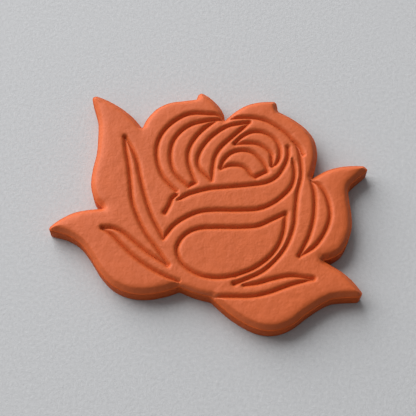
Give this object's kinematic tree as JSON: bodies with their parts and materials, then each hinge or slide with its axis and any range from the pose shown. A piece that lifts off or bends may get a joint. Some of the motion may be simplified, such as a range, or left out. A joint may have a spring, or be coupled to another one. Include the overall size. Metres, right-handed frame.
{
  "type": "polymer clay rose tile",
  "caption": "Flat rose-shaped tile of terracotta-coloured polymer clay, cut from a slab with straight sides and a sloping rim, its petals, bud and leaf veins pressed in as narrow lines",
  "frame": {"origin": "under the middle of the tile's outline box, on the flat back that it lies on", "axes": "+X across the bloom towards the right-hand leaves, +Y towards the top of the bloom, +Z out of the pressed face"},
  "size_m": [0.045, 0.0354, 0.0034],
  "materials": {
    "base_clay": "matte, cut",
    "embossed_clay": "matte, pressed and baked"
  },
  "bodies": {
    "root": {"base_layer": "base_clay", "embossed_layer": "embossed_clay"}
  },
  "joints": []
}
